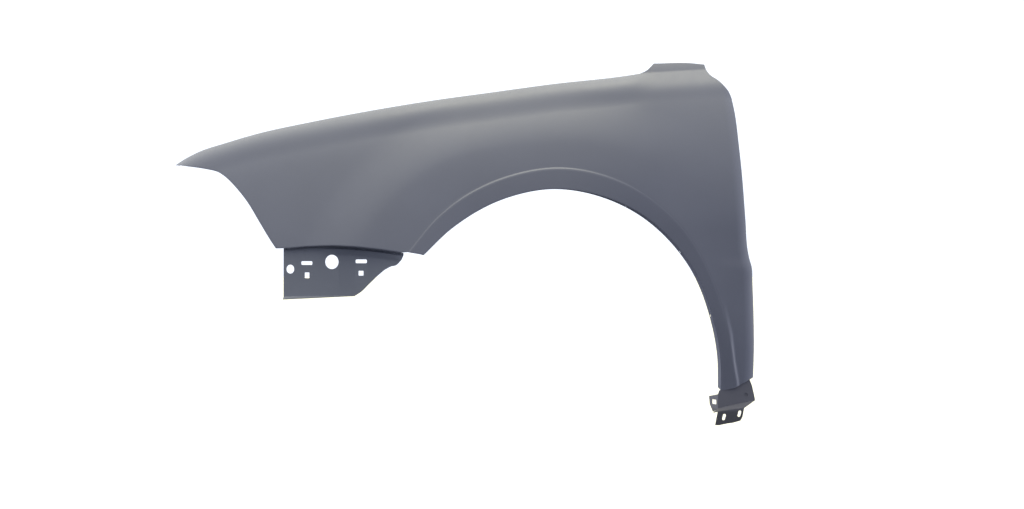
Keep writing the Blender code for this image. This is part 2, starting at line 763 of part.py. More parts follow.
def sill_mesh():
    """Face, ledge, lower tab and front tab, folded from one sheet."""
    bm = bmesh.new()
    face = [bm.verts.new(sill_point(*share)) for share in SILL_FACE_SHARES]
    bm.faces.new(face)
    ledge = [bm.verts.new(sill_point(*s, out=SILL_LEDGE)) for s in SILL_LEDGE_SHARES]
    bm.faces.new([face[5], face[6]] + ledge[::-1])
    tab = [bm.verts.new(sill_point(*s, out=SILL_LEDGE)) for s in SILL_TAB_SHARES]
    bm.faces.new([ledge[0]] + tab + [ledge[1]])
    front = [bm.verts.new(front_tab_point(*s)) for s in SILL_FRONT_SHARES]
    bm.faces.new([face[7], face[6]] + front)
    return finished(bm, "sill_bracket", inboard=False)


def build_sill_bracket(parts, cutters, root):
    material = primer("sill_bracket_primer", (0.12, 0.13, 0.16), 0.6)
    bracket = pressed("sill_bracket", sill_mesh(), BRACKET_SHEET, parts, root, material)
    across = Vector((1, 0, 0))
    out = Vector((0, -1, 0))
    slot = oval(SILL_SLOT_LENGTH, SILL_SLOT_WIDTH, math.pi / 2 - SILL_SLOT_TURN)
    for k, share in enumerate(SILL_SLOT_SHARES):
        place = sill_point(*share, out=SILL_LEDGE)
        punch(bracket, cutters, f"sill_slot_{k}", slot, place, out, across)
    dimple = oval(2 * SILL_DIMPLE, 2 * SILL_DIMPLE)
    place = sill_point(*SILL_DIMPLE_SHARE, out=CUT_OVERRUN - SILL_DIMPLE_DEPTH)
    punch(bracket, cutters, "sill_dimple", dimple, place, out, across)
    square = rectangle(SILL_SQUARE_WIDTH, SILL_SQUARE_HEIGHT)
    place = front_tab_point(*SILL_SQUARE_SHARE)
    fold = Vector((math.cos(SILL_FRONT_FOLD), -math.sin(SILL_FRONT_FOLD), 0))
    axis = fold.cross(Vector((0, 0, 1)))
    punch(bracket, cutters, "sill_square", square, place, axis, fold)


def main():
    clear_scene()
    parts = new_collection("car_fender")
    cutters = new_collection("cutters")
    root = bpy.data.objects.new("datum", None)
    parts.objects.link(root)
    root.location = -(ledge_point(PAD_SHARES[-1] * NOSE_REACH) - Vector((0, 0, SHEET)))
    build_skin(parts, cutters, root)
    build_bumper_bracket(parts, cutters, root)
    build_sill_bracket(parts, cutters, root)


main()
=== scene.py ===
import math

import bmesh
import bpy
import numpy as np
from mathutils import Matrix, Vector


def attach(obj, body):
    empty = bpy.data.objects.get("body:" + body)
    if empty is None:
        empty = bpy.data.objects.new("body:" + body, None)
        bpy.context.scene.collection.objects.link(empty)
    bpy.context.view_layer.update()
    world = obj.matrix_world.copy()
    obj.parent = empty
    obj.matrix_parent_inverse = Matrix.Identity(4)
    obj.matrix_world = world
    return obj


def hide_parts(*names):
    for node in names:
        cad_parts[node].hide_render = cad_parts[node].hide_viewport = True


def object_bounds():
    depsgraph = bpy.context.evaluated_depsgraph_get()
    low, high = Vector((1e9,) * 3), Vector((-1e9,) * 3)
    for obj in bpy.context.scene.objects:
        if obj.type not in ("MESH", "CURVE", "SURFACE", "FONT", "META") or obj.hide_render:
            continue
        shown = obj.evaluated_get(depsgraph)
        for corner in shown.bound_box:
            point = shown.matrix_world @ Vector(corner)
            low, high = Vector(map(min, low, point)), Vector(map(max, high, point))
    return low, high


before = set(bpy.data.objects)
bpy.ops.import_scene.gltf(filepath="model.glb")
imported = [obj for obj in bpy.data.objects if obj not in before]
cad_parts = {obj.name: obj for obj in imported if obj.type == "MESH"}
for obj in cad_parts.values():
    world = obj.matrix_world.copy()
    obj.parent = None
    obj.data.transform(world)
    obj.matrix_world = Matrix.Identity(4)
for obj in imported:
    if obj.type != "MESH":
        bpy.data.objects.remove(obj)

cad_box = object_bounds()

# Sheet metal: thicknesses, the gap at welds and the rounding of folds
SHEET = 0.0008
BRACKET_SHEET = 0.0015
WELD_GAP = 0.0003
FOLD = 0.0012
CUT_OVERRUN = 0.010

# Reach of the panel from the wheel arch centre
NOSE_REACH = 0.8685
COWL_HEIGHT = 0.6082
ARCH_RADIUS = 0.3332
LIP_BAND = 0.0415
LEG_WIDTH = 0.0774
DOOR_REACH = ARCH_RADIUS + LEG_WIDTH

# Shape of the surface: plan sweep towards the nose
BODY_PLANE = 0.018
PLAN_START = -0.200
PLAN_RADIUS = 1.250

# Shape of the surface: lean of the side towards the hood, front half and rear half
LEAN_START = 0.190
LEAN_END = 0.480
LEAN_RADIUS = 1.700
LEAN_SLOPE_SHARE = 0.24
REAR_LEAN_START = 0.250
REAR_LEAN_RADIUS = 0.667
TUCK_START = 0.250
TUCK_RADIUS = 3.300
LEAN_BLEND = 0.200

# Shape of the surface: roll over at the hood line, face of the cowl tongue and soft channel
ROLL_DEPTH = 0.042
ROLL_FALL = 0.024
TONGUE_FACE_SLOPE = 0.49
TONGUE_FACE_RUN = 0.038
TONGUE_FACE_BEND = 0.006
TONGUE_SLOPE_SHARE = 0.05
TONGUE_START = 0.150
TONGUE_END = 0.220
CHANNEL_DEPTH = 0.027
CHANNEL_TOP = -0.020
CHANNEL_END = 0.070
NOSE_CHANNEL_START = -0.200
NOSE_CHANNEL_END = -0.600
NOSE_CHANNEL_LOSS_SHARE = 0.30
TONGUE_CHANNEL_LOSS_SHARE = 0.65

# Shape of the surface: wheel arch flare, its lip band and the ledge above the band
FLARE_RADIUS = 0.455
FLARE_GROWTH = 0.035
FLARE_RUN = 0.090
FLARE_TAIL = 0.020
FLARE_HEIGHT = 0.0105
FLARE_FULL_ANGLE = math.radians(90)
FLARE_FADE_ANGLE = math.radians(50)
FLARE_WIDE_ANGLE = math.radians(135)
FLARE_HOLLOW_SHARE = 0.13
HOLLOW_FULL_ANGLE = math.radians(130)
HOLLOW_FADE_ANGLE = math.radians(60)
LEDGE_HEIGHT = 0.0025
LEDGE_RUN = 0.004
REAR_LEDGE_SHARE = 0.12
LEDGE_FULL_ANGLE = math.radians(100)
LEDGE_FADE_ANGLE = math.radians(55)
FRONT_LEDGE_SHARE = 0.5
FRONT_LEDGE_START = math.radians(112)
FRONT_LEDGE_END = math.radians(138)
BAND_SLOPE_SHARE = -0.05

# Swell of the rear leg, which falls away outside the band
SWELL_HEIGHT = 0.0024
SWELL_RUN = 0.080
SWELL_START_ANGLE = math.radians(65)
SWELL_FULL_ANGLE = math.radians(42)
SWELL_LOW_ANGLE = math.radians(18)
SWELL_END_ANGLE = math.radians(0)

# Ridge down the foot of the rear leg: its line, from the bottom up, and its shape
RIDGE_LINE = ((0.373, -0.071), (0.364, -0.023), (0.358, 0.029), (0.342, 0.101))
RIDGE_HEIGHT = 0.0032
RIDGE_RUN = 0.009
RIDGE_RISE = 0.025
RIDGE_START = 0.110
RIDGE_FULL = 0.000

# Shape of the surface: rolled edge beside the door and the soft step in it
DOOR_ROLL_WIDTH = 0.022
DOOR_ROLL_DEPTH = 0.006
STEP_HEIGHT = 0.178
STEP_WIDTH = 0.012
STEP_DEPTH = 0.0015
STEP_REACH = 0.090

# Flanges
HOOD_WALL = 0.019
HOOD_WALL_TILT = 0.002
HOOD_LEDGE = 0.028
FRONT_FLANGE = 0.012
BUMPER_FLANGE = 0.014
LIP_FLANGE = 0.025
CROWN_FLANGE_TILT = -0.0015
REAR_FLANGE_TILT = 0.002
CLIP_HOLE_IN = 0.0167
DOOR_FLANGE = 0.015
DOOR_TAB = 0.024
FLANGE_CHAMFER = 0.006
BOLT_HOLE = 0.0045
CLIP_HOLE = 0.0035
PAD_HALF = 0.042
PAD_HOLE_SHIFT = 0.017
DOOR_TAB_HALF = 0.030
DOOR_TAB_HOLE_IN = 0.026

# Bumper bracket: its plate, its weld flange, its lower lip and its holes
BRACKET_DROP = 0.106
BRACKET_SETBACK = 0.0025
BRACKET_LIP_OUT = 0.0095
BRACKET_LIP_DOWN = 0.0055
BRACKET_LIP_TAPER_SHARE = 0.83
BRACKET_ROUND_SIZE = (0.0302, 0.0302)
BRACKET_OVAL_SIZE = (0.0190, 0.0178)
BRACKET_SLOT_SIZE = (0.0252, 0.0078)
BRACKET_SLOT_CORNER = 0.0022
BRACKET_SQUARE_SIZES = ((0.0108, 0.0122), (0.0113, 0.0101))
SQUARE_CORNER = 0.001

# Bead across the top of the bumper bracket: its height, its two ends as shares of
# the plate's length, and its two flanks as distances below the plate's top
BEAD_HEIGHT = 0.005
BEAD_START_SHARES = (0.28, 0.50)
BEAD_END_SHARES = (1.00, 0.93)
BEAD_TOP = (0.0052, 0.0080)
BEAD_FOOT = (0.0220, 0.0080)

# Sill bracket: place of its face, its ledge, lower tab and front tab
SILL_FACE_DEPTH = 0.03588
SILL_INSET = 0.0028
SILL_TOP = -0.048
SILL_MARGIN = 0.0014
SILL_START = ARCH_RADIUS + SILL_INSET
SILL_WIDTH = LEG_WIDTH - SILL_MARGIN
SILL_DROP = 0.076
SILL_LEDGE = 0.017
SILL_FRONT_FOLD = math.radians(60)
SILL_SLOT_SIZE = (0.0134, 0.0061)
SILL_SLOT_TURN = math.radians(15)
SILL_SQUARE_SIZE = (0.0140, 0.0095)
SILL_DIMPLE = 0.0040
SILL_DIMPLE_DEPTH = 0.0013

# Mesh steps
HOOD_STEPS = 120
TONGUE_STEPS = (12, 20, 28)
DOOR_STEPS = 76
FRONT_STEPS = 28
BUMPER_STEPS = 20
BAND_STEPS = 12
LEDGE_STEPS = 5
ROUND_STEPS = 24
CORNER_STEPS = 5
BRACKET_STEPS = 60
FOLD_STEPS = 3
TIP_ROWS = 9
TIP_COLUMNS = 4
FINE_STEPS = 600
SHARP_ANGLE = math.radians(40)

# Rows along the panel's outer edge: distances in from it, with more rows between them
EDGE_KNOTS = (0.0, 0.006, 0.013, 0.022, 0.034, 0.050, 0.072)
EDGE_STEPS = 4
EDGE_PLACES = np.arange((len(EDGE_KNOTS) - 1) * EDGE_STEPS + 1) / EDGE_STEPS
EDGE_ROWS = np.interp(EDGE_PLACES, range(len(EDGE_KNOTS)), EDGE_KNOTS)

# Rows of the bumper bracket's plate: each a distance below its top, but at most a share
# of its height; the last one is its foot
BRACKET_ROWS = (
    (0.0, 0.0), (0.0052, 0.1), (0.0059, 0.2), (0.0066, 0.3), (0.0073, 0.4), (0.0080, 0.5),
    (0.0115, 0.6), (0.0150, 0.7), (0.0185, 0.8), (0.0220, 0.9), (math.inf, 1.0),
)

# Primer: colours and roughness of the three pieces
SKIN_COLOUR = (0.122, 0.134, 0.203)
SKIN_ROUGHNESS = 0.5
BUMPER_BRACKET_COLOUR = (0.178, 0.195, 0.268)
BUMPER_BRACKET_ROUGHNESS = 0.55
SILL_BRACKET_COLOUR = (0.101, 0.105, 0.150)
SILL_BRACKET_ROUGHNESS = 0.5
# Painted shade at the foot of the sill bracket, darker towards its lower tab: the heights
# between which it darkens, and its share
SILL_PAINTED_SHADE_HEIGHTS = (-0.677, -0.668)
SILL_PAINTED_SHADE_SHARE = 0.5

# Primer: scale and detail of its noises, and how much each changes the surface
MOTTLE_NOISE = (9, 4)
MOTTLE_SHARES = (0.93, 1.07)
SHEEN_NOISE = (60, 3)
SHEEN_SPREAD = 0.05
GRAIN_NOISE = (900, 2)
GRAIN_STRENGTH = 0.12
GRAIN_HEIGHT = 0.0003
PRIMER_SPECULAR = 0.5

# Camera: its place from the wheel arch centre, and its focal length at the image's width
EYE = (-0.09225, -2.4, 0.195775)
FOCAL_PIXELS = 1170.73
IMAGE_WIDTH = 1024
SENSOR_WIDTH = 36

# Floor: half its side, its distance under the part and its colour
FLOOR_HALF = 40
FLOOR_DROP = 0.45
FLOOR_COLOUR = (0.8, 0.8, 0.8)

# Studio tent: its colours from straight below to straight above, its strength, and how
# much dimmer it is on the outer side
SKY = (
    (0.0, (0.03, 0.03, 0.03)),
    (0.44, (0.05, 0.052, 0.055)),
    (0.49, (0.36, 0.38, 0.42)),
    (0.62, (0.405, 0.425, 0.465)),
    (1.0, (0.97, 0.93, 0.67)),
)
SKY_STRENGTH = 3.12
SKY_OUTER_SHARE = 0.6
SKY_TURN = (-0.2, 0.6)

# Lamps: name, place, size, power and colour, and the point at which all of them aim
LAMPS = (
    ("key", (-0.2, -0.2, 2.6), (2.4, 1.2), 58, (1, 0.96, 0.73)),
    ("right", (3.0, -0.35, -0.6), (1.0, 1.0), 42, (1, 1, 1)),
    ("left", (-3.0, 0.8, -0.6), (1.0, 1.0), 30, (1, 1, 1)),
)
LAMP_AIM = (-0.2, 0, -0.2)

# Outline as shares of the nose reach or the door reach, and of the cowl height
HOOD_SHARES = (
    (-1.000, 0.661), (-0.979, 0.678), (-0.926, 0.710), (-0.857, 0.735),
    (-0.755, 0.769), (-0.620, 0.803), (-0.414, 0.851), (-0.211, 0.894),
    (-0.012, 0.929), (0.343, 0.952), (0.447, 0.962),
)
TONGUE_FRONT_SHARES = (
    (0.447, 0.962), (0.477, 0.971), (0.502, 0.986), (0.519, 0.999),
)
TONGUE_TOP_SHARES = (
    (0.519, 0.999), (0.718, 1.000), (0.784, 0.995),
)
TONGUE_REAR_SHARES = (
    (0.784, 0.995), (0.794, 0.971), (0.807, 0.955), (0.845, 0.933), (0.875, 0.910),
    (0.898, 0.888), (0.910, 0.866),
)
DOOR_SHARES = (
    (0.910, 0.866), (0.919, 0.822), (0.932, 0.694), (0.940, 0.610), (0.954, 0.446),
    (0.969, 0.324), (0.976, 0.303), (0.985, 0.282), (0.990, 0.222), (0.997, 0.099),
    (1.000, -0.003), (0.998, -0.099),
)
FRONT_SHARES = (
    (-1.000, 0.661), (-0.953, 0.650), (-0.895, 0.636), (-0.857, 0.622),
    (-0.837, 0.605), (-0.803, 0.563), (-0.772, 0.516), (-0.728, 0.429),
    (-0.695, 0.363), (-0.684, 0.343),
)
BUMPER_SHARES = (
    (-0.684, 0.343), (-0.660, 0.344), (-0.605, 0.350), (-0.536, 0.353),
    (-0.446, 0.344), (-0.402, 0.336), (-0.355, 0.324),
)
# Continuation of the hood line over the tongue, which the surface follows there
HOOD_TAIL_SHARE = (1.000, 0.985)

# Arch lip: angle from the rear, share of the arch radius
LIP_SHARES = (
    (144.7, 1.011), (131.2, 0.994), (109.9, 0.991), (91.7, 0.996), (59.6, 0.989),
    (31.7, 0.983), (9.8, 0.992), (-2.5, 1.020), (-14.3, 1.061),
)
# Lip band: angle from the rear, share of the band's width
BAND_SHARES = (
    (147.0, 0.760), (132.2, 0.927), (122.6, 1.023), (106.0, 1.076), (88.8, 1.119),
    (66.7, 1.022), (45.9, 0.852), (24.9, 0.639), (15.5, 0.624), (5.4, 0.640),
    (-6.6, 0.755), (-12.6, 0.640),
)

# Bolt pads on the hood ledge, as shares of the nose reach; the last is the datum
PAD_SHARES = (-0.70, -0.35, 0.0)
# Tabs on the door flange, as shares of the cowl height
DOOR_TAB_SHARES = (0.60, 0.10)
# Liner clip holes in the lip flange, as angles from the rear
CLIP_ANGLES = (12, 38, 64, 90, 116, 138)

# Ends of the bumper bracket, as shares of the nose reach
BRACKET_END_SHARES = (-0.6658, -0.3662)
# Bumper bracket below its weld flange: shares of its length and drop, front to rear
BRACKET_LOW_SHARES = (
    (0.000, -0.965), (0.605, -0.930), (0.657, -0.845), (0.725, -0.680),
    (0.785, -0.540), (0.843, -0.420), (0.896, -0.350), (0.942, -0.330),
    (0.986, -0.215), (1.000, -0.130),
)
# Where the bumper bracket's holes lie, as shares of its length and drop
BRACKET_OVAL_SHARE = (0.057, -0.408)
BRACKET_SLOT_SHARES = ((0.197, -0.286), (0.653, -0.250))
BRACKET_SQUARE_SHARES = ((0.199, -0.531), (0.651, -0.485))
BRACKET_ROUND_SHARE = (0.408, -0.262)

# Sill bracket: shares of its width and drop, clockwise from its upper front corner
SILL_FACE_SHARES = (
    (0.21, 0.00), (0.84, 0.00), (0.87, -0.21), (0.937, -0.38), (1.01, -0.71),
    (1.02, -0.776), (0.00, -1.00), (0.00, -0.62), (0.04, -0.52), (0.21, -0.40),
)
SILL_LEDGE_SHARES = ((0.68, -0.957), (-0.045, -1.062), (-0.16, -1.079))
SILL_TAB_SHARES = (
    (0.630, -1.215), (0.575, -1.31), (0.368, -1.368), (0.21, -1.39), (0.0, -1.434),
    (-0.113, -1.434),
)
SILL_FRONT_SHARES = ((-0.105, -1.118), (-0.171, -0.934), (-0.19, -0.705))
SILL_SLOT_SHARES = ((0.130, -1.212), (0.548, -1.120))
SILL_SQUARE_SHARE = (-0.08, -0.842)
SILL_DIMPLE_SHARE = (0.772, -0.635)


def fade(value, start, end):
    """0 up to start, 1 from end on, and no kink between them. Start may be above end."""
    t = np.clip((value - start) / (end - start), 0, 1)
    return t * t * (3 - 2 * t)


def smooth_line(points, distances=None, steps=None):
    """Points along a smooth line through the given ones, evenly or at given distances."""
    knots = np.array(points, dtype=float)
    reach = np.concatenate(([0], np.cumsum(np.linalg.norm(np.diff(knots, axis=0), axis=1))))
    slopes = np.gradient(knots, reach, axis=0)
    along = np.linspace(0, reach[-1], FINE_STEPS + 1)
    piece = np.clip(np.searchsorted(reach, along, side="right") - 1, 0, len(knots) - 2)
    span = (reach[piece + 1] - reach[piece])[:, None]
    t = (along - reach[piece])[:, None] / span
    fine = (
        (1 + 2 * t) * (1 - t) ** 2 * knots[piece]
        + t * (1 - t) ** 2 * span * slopes[piece]
        + t * t * (3 - 2 * t) * knots[piece + 1]
        + t * t * (t - 1) * span * slopes[piece + 1]
    )
    lengths = np.concatenate(([0], np.cumsum(np.linalg.norm(np.diff(fine, axis=0), axis=1))))
    if distances is None:
        distances = np.linspace(0, lengths[-1], steps + 1)
    return np.column_stack([np.interp(distances, lengths, fine[:, k]) for k in (0, 1)])


def line_length(points):
    """Length of the smooth line through the given points."""
    fine = smooth_line(points, steps=FINE_STEPS)
    return np.linalg.norm(np.diff(fine, axis=0), axis=1).sum()


def placed(shares):
    """Outline points in metres, from their shares."""
    return [
        (x * (NOSE_REACH if x < 0 else DOOR_REACH), z * COWL_HEIGHT) for x, z in shares
    ]


def polar(angle, radius):
    """Plan point at an angle from the rear and a distance from the arch centre."""
    return (radius * math.cos(angle), radius * math.sin(angle))


HOOD_LINE = smooth_line(placed(HOOD_SHARES), steps=FINE_STEPS)
HOOD_BASE = np.vstack([HOOD_LINE, placed([HOOD_TAIL_SHARE])])
DOOR_LINE = smooth_line(placed(DOOR_SHARES), steps=FINE_STEPS)
LIP_LINE = smooth_line(
    [polar(math.radians(a), share * ARCH_RADIUS) for a, share in LIP_SHARES],
    steps=FINE_STEPS,
)


def radius_at(line, angle):
    """Distance of a polar line from the arch centre, at an angle from the rear."""
    angles = np.arctan2(line[:, 1], line[:, 0])
    return np.interp(angle, angles[::-1], np.linalg.norm(line, axis=1)[::-1])


def crease_point(degrees, share):
    """Point of the lip band's outer edge, from its angle and a share of the band's width."""
    angle = math.radians(degrees)
    return polar(angle, radius_at(LIP_LINE, angle) + share * LIP_BAND)


CREASE_LINE = smooth_line([crease_point(*pair) for pair in BAND_SHARES], steps=FINE_STEPS)


def hood_height(x):
    """Height of the hood line, which runs on over the tongue."""
    return np.interp(x, HOOD_BASE[:, 0], HOOD_BASE[:, 1])


def plan_depth(x):
    """How far the plan view's curve takes the nose inboard."""
    ahead = np.maximum(PLAN_START - x, 0)
    return PLAN_RADIUS - np.sqrt(PLAN_RADIUS**2 - ahead**2)


def lean_depth(x, z):
    """How far the side leans inboard, towards the hood and under the sill."""
    curved = np.clip(z, LEAN_START, LEAN_END) - LEAN_START
    straight = np.maximum(z - LEAN_END, 0)
    front = LEAN_SLOPE_SHARE * (z - LEAN_START) + curved**2 / (2 * LEAN_RADIUS)
    front = front + straight * (LEAN_END - LEAN_START) / LEAN_RADIUS
    rear = np.maximum(z - REAR_LEAN_START, 0) ** 2 / (2 * REAR_LEAN_RADIUS)
    rear = rear + np.maximum(TUCK_START - z, 0) ** 2 / (2 * TUCK_RADIUS)
    back = fade(x, -LEAN_BLEND, LEAN_BLEND)
    return (1 - back) * front + back * rear


def roll_depth(x, z):
    """The roll over towards the hood line, less the soft channel under it."""
    below = hood_height(x) - z
    over = fade(x, TONGUE_START, TONGUE_END)
    inside = ROLL_DEPTH * np.exp(-np.maximum(below, 0) / ROLL_FALL)
    left = (TONGUE_FACE_RUN - np.maximum(below, 0)) / TONGUE_FACE_BEND
    face = TONGUE_FACE_SLOPE * TONGUE_FACE_BEND * np.logaddexp(0, left)
    beyond = np.maximum(-below, 0) * TONGUE_SLOPE_SHARE
    ends = TONGUE_CHANNEL_LOSS_SHARE * over
    ends = ends + NOSE_CHANNEL_LOSS_SHARE * fade(x, NOSE_CHANNEL_START, NOSE_CHANNEL_END)
    channel = CHANNEL_DEPTH * (1 - ends) * (1 - fade(below, CHANNEL_TOP, CHANNEL_END))
    return (1 - over) * inside + over * face + beyond - channel


def rear_swell(angle, beyond):
    """Share of the rear leg's swell, which falls from 0 beyond the crease."""
    near = np.clip(1 - beyond / SWELL_RUN, 0, 1)
    upper = fade(angle, SWELL_START_ANGLE, SWELL_FULL_ANGLE)
    return (near**2 - 1) * upper * fade(angle, SWELL_END_ANGLE, SWELL_LOW_ANGLE)


def foot_ridge(x, z):
    """Share of the ridge's height: a slow rise up to its line and a short fall beyond."""
    heights = [point[1] for point in RIDGE_LINE]
    beyond = x - np.interp(z, heights, [point[0] for point in RIDGE_LINE])
    rise = np.clip(1 + beyond / RIDGE_RISE, 0, 1)
    return rise * fade(beyond, RIDGE_RUN, 0) * fade(z, RIDGE_START, RIDGE_FULL)


def ledge_share(angle):
    """Share of the ledge's height: all of it over the crown, and less to either side."""
    crest = fade(angle, LEDGE_FADE_ANGLE, LEDGE_FULL_ANGLE)
    front = fade(angle, FRONT_LEDGE_START, FRONT_LEDGE_END)
    share = REAR_LEDGE_SHARE + (1 - REAR_LEDGE_SHARE) * crest
    return share * (1 - (1 - FRONT_LEDGE_SHARE) * front)


def flare_height(x, z):
    """How far the flare, its ledge and its lip band stand out around the arch."""
    radius = np.hypot(x, z)
    angle = np.arctan2(z, x)
    start = FLARE_RADIUS + FLARE_GROWTH * fade(angle, FLARE_FULL_ANGLE, FLARE_WIDE_ANGLE)
    rise = FLARE_HEIGHT * fade(radius, start + FLARE_RUN, start - FLARE_TAIL)
    rise = rise * fade(angle, FLARE_FADE_ANGLE, FLARE_FULL_ANGLE)
    inside = np.maximum(start - FLARE_TAIL - radius, 0)
    hollow = FLARE_HOLLOW_SHARE * inside**2 / (inside + FLARE_TAIL)
    rise = rise - hollow * fade(angle, HOLLOW_FADE_ANGLE, HOLLOW_FULL_ANGLE)
    beyond = radius - radius_at(CREASE_LINE, angle)
    rise = rise + SWELL_HEIGHT * rear_swell(angle, beyond)
    rise = rise + RIDGE_HEIGHT * foot_ridge(x, z)
    band = np.maximum(-beyond, 0)
    ledge = LEDGE_HEIGHT * ledge_share(angle)
    return rise + ledge * fade(band, 0, LEDGE_RUN) + BAND_SLOPE_SHARE * band


def door_depth(x, z):
    """The rolled edge beside the door, and the soft step that runs into it."""
    edge = np.interp(z, DOOR_LINE[::-1, 1], DOOR_LINE[::-1, 0])
    near = np.maximum(DOOR_ROLL_WIDTH - (edge - x), 0) / DOOR_ROLL_WIDTH
    step = fade(z, STEP_HEIGHT + STEP_WIDTH, STEP_HEIGHT - STEP_WIDTH)
    reach = fade(edge - x, STEP_REACH, 0)
    return DOOR_ROLL_DEPTH * near**2 - STEP_DEPTH * step * reach


def depth(x, z):
    """Distance of the outer surface inboard of the body plane's datum."""
    side = BODY_PLANE + plan_depth(x) + lean_depth(x, z)
    return side + roll_depth(x, z) + door_depth(x, z) - flare_height(x, z)


def surface_point(x, z):
    """Point of the outer surface, from the arch centre."""
    return Vector((float(x), float(depth(x, z)), float(z)))


def inward_at(x, z):
    """Unit vector into the car, square to the outer surface."""
    h = SHEET
    slope_x = float(depth(x + h, z) - depth(x - h, z)) / (2 * h)
    slope_z = float(depth(x, z + h) - depth(x, z - h)) / (2 * h)
    return Vector((-slope_x, 1, -slope_z)).normalized()


def patch(low, high, first, rows):
    """Plan points between two long sides and a first short side; the last one is straight.

    rows gives each row's share of the way from low to high, at every column.
    """
    left = (1 - np.linspace(0, 1, len(low))[:, None]) ** 2
    grid = []
    for share, point in zip(rows, first):
        v = share[:, None]
        ruled = (1 - v) * low + v * high
        grid.append(ruled + left * (point - ruled[0]))
    return grid


def outer_side():
    """The panel's outer boundary from the nose over the tongue and down the door edge."""
    runs = (
        (HOOD_SHARES, HOOD_STEPS),
        (TONGUE_FRONT_SHARES, TONGUE_STEPS[0]),
        (TONGUE_TOP_SHARES, TONGUE_STEPS[1]),
        (TONGUE_REAR_SHARES, TONGUE_STEPS[2]),
        (DOOR_SHARES, DOOR_STEPS),
    )
    points = [np.array(placed(HOOD_SHARES[:1]))]
    for shares, steps in runs:
        points.append(smooth_line(placed(shares), steps=steps)[1:])
    return np.vstack(points)


def arch_side(line, count):
    """Even points along the lip or the crease, from the bumper edge to the leg's end."""
    lengths = np.linspace(0, FINE_STEPS, count)
    return np.column_stack(
        [np.interp(lengths, np.arange(FINE_STEPS + 1), line[:, k]) for k in (0, 1)]
    )


def nose_side():
    """Points down the front edge and along the bumper edge, from the nose to the crease."""
    front = placed(FRONT_SHARES)
    rest = np.linspace(EDGE_ROWS[-1], line_length(front), FRONT_STEPS + 1)[1:]
    down = smooth_line(front, distances=np.concatenate((EDGE_ROWS, rest)))
    along = smooth_line(placed(BUMPER_SHARES), steps=BUMPER_STEPS)
    return np.vstack([down, along[1:]])[::-1]


def body_grid():
    """Rows of plan points from the crease out to the hood, tongue and door edges."""
    outer = outer_side()
    crease = arch_side(CREASE_LINE, len(outer))
    first = nose_side()
    first[0] = crease[0]
    count = len(first) - 1
    spans = np.linalg.norm(outer - crease, axis=1)
    rows = []
    for i in range(count + 1):
        k = count - i
        even = k / count
        if k < len(EDGE_ROWS):
            share = np.minimum(EDGE_ROWS[k] / spans, even)
        else:
            start = np.minimum(EDGE_ROWS[-1] / spans, (len(EDGE_ROWS) - 1) / count)
            share = start + (1 - start) * (k - len(EDGE_ROWS) + 1) / (
                count - len(EDGE_ROWS) + 1
            )
        rows.append(1 - share)
    return patch(crease, outer, first, rows)


def band_grid(columns):
    """Rows of plan points from the lip out to the crease, which they leave out."""
    lip = arch_side(LIP_LINE, columns)
    crease = arch_side(CREASE_LINE, columns)
    widths = np.linalg.norm(crease - lip, axis=1)[:, None]
    grid = [
        lip + (crease - lip) * (k / BAND_STEPS) * (1 - LEDGE_RUN / widths)
        for k in range(BAND_STEPS + 1)
    ]
    for k in range(1, LEDGE_STEPS):
        short = LEDGE_RUN * (1 - k / LEDGE_STEPS)
        grid.append(lip + (crease - lip) * (1 - short / widths))
    return grid


def add_strip(bm, run, offsets):
    """A flange off a run of edge vertices. Returns its free vertices."""
    weight = bm.edges.layers.float.get("bevel_weight_edge")
    free = [bm.verts.new(vert.co + offset) for vert, offset in zip(run, offsets)]
    for k in range(len(run) - 1):
        bm.faces.new((run[k], run[k + 1], free[k + 1], free[k]))
        bm.edges.get((run[k], run[k + 1]))[weight] = 1
    return free


def chamfered(run, offsets, ends=(True, True)):
    """Offsets whose first and last are drawn in along the run, to relieve the corner."""
    moved = [offset.copy() for offset in offsets]
    if ends[0]:
        moved[0] += (run[1].co - run[0].co).normalized() * FLANGE_CHAMFER
    if ends[1]:
        moved[-1] += (run[-2].co - run[-1].co).normalized() * FLANGE_CHAMFER
    return moved


def pad_height(x):
    """Height of the hood ledge: level at each bolt pad, along the hood line elsewhere."""
    for share in PAD_SHARES:
        centre = share * NOSE_REACH
        if abs(x - centre) <= PAD_HALF:
            return float(hood_height(centre)) - HOOD_WALL
    return float(hood_height(x)) - HOOD_WALL


def add_hood_flange(bm, run):
    """The wall under the hood line, and the ledge with the bolt pads."""
    drops = [
        Vector((0, HOOD_WALL_TILT, pad_height(vert.co.x) - vert.co.z)) for vert in run
    ]
    low = add_strip(bm, run, chamfered(run, drops))
    add_strip(bm, low, [Vector((0, HOOD_LEDGE, 0)) for _ in low])


def add_lip_flange(bm, run):
    """The flange inside the arch, which leans away from its centre except on the rear leg."""
    offsets = []
    for vert in run:
        centre = Vector((-vert.co.x, 0, -vert.co.z)).normalized()
        crest = fade(math.atan2(vert.co.z, vert.co.x), LEDGE_FADE_ANGLE, LEDGE_FULL_ANGLE)
        tilt = REAR_FLANGE_TILT + (CROWN_FLANGE_TILT - REAR_FLANGE_TILT) * crest
        offsets.append(Vector((0, LIP_FLANGE, 0)) + centre * tilt)
    add_strip(bm, run, chamfered(run, offsets))


def add_front_flange(bm, run):
    """The flange along the headlamp, square to the surface in plan view."""
    offsets = []
    for vert in run:
        turned = inward_at(vert.co.x, vert.co.z) * Vector((1, 1, 0))
        offsets.append(turned.normalized() * FRONT_FLANGE)
    add_strip(bm, run, chamfered(run, offsets))


def add_bumper_flange(bm, run):
    """The flange along the bumper edge."""
    add_strip(bm, run, chamfered(run, [Vector((0, BUMPER_FLANGE, 0)) for _ in run]))


